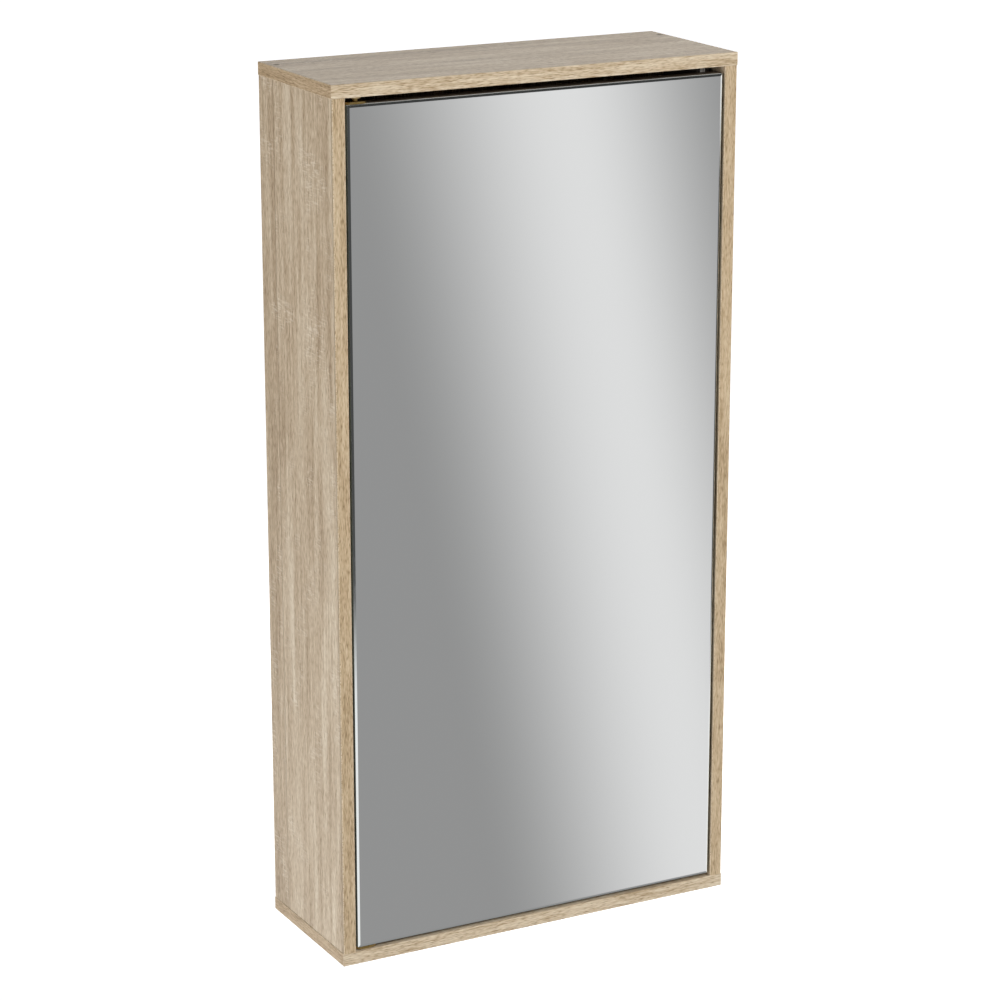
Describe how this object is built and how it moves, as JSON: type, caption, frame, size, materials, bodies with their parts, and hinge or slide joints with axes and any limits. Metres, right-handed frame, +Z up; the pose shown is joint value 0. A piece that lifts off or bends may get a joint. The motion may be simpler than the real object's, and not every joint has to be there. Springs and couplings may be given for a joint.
{
  "type": "mirrored wall cabinet",
  "caption": "Tall, shallow wall cabinet of light oak decor board with a flush mirror door on pivot hinges, a push-to-open latch and shelves behind it.",
  "frame": {"origin": "on the wall plane, midway between the two wall screw holes of the hanging rail", "axes": "+Z up, +Y into the wall, so the mirror faces -Y; +X to the right seen from the front"},
  "size_m": [0.4, 0.15, 0.8],
  "materials": {
    "oak_decor_board": "matte oak decor on chipboard",
    "oak_edging": "matte oak decor",
    "hardboard": "oak decor front, bare brown back",
    "beech": "pressed wood, bare",
    "zinc_plated_steel": "zinc plated",
    "brass": "brass plated, satin",
    "nylon": "natural",
    "latch_plastic": "moulded, white",
    "magnet": "nickel plated",
    "spring_steel": "bright wire",
    "mirror": "silvered float glass",
    "foam_tape": "closed-cell foam"
  },
  "bodies": {
    "carcass": {"top_panel": "oak_decor_board", "bottom_panel": "oak_decor_board", "left_side_panel": "oak_decor_board", "right_side_panel": "oak_decor_board", "hanging_rail": "oak_decor_board", "lower_shelf": "oak_decor_board", "middle_shelf": "oak_decor_board", "upper_shelf": "oak_decor_board", "top_edging": "oak_edging", "bottom_edging": "oak_edging", "left_side_edging": "oak_edging", "right_side_edging": "oak_edging", "shelf_edging": "oak_edging", "back_panel": "hardboard", "corner_biscuits": "beech", "rail_biscuits": "beech", "shelf_biscuits": "beech", "carcass_screws": "zinc_plated_steel", "shelf_supports": "zinc_plated_steel", "latch_screws": "zinc_plated_steel", "pivot_bushes": "nylon", "latch_housing": "latch_plastic", "latch_spring": "spring_steel"},
    "door": {"door_board": "oak_decor_board", "door_edging": "oak_edging", "mirror_pane": "mirror", "mirror_tape": "foam_tape", "hinge_angles": "brass", "upper_pivot_pin": "brass", "lower_pivot_pin": "brass", "hinge_screws": "brass", "strike_plate": "zinc_plated_steel"},
    "plunger": {"latch_plunger": "latch_plastic", "latch_magnet": "magnet"}
  },
  "joints": [
    {"name": "door_hinge", "type": "hinge", "parent": "carcass", "child": "door", "pos_m": [-0.1755, -0.144, 0], "axis": [0, 0, -1], "range_deg": [0, 120]},
    {"name": "latch_slide", "type": "slide", "parent": "carcass", "child": "plunger", "axis": [0, -1, 0], "range_m": [0, 0.01], "deforming": ["latch_spring"]}
  ],
  "couplings": [
    {"joint": "latch_slide", "follows": "door_hinge", "m_per_rad": 0.00477}
  ]
}
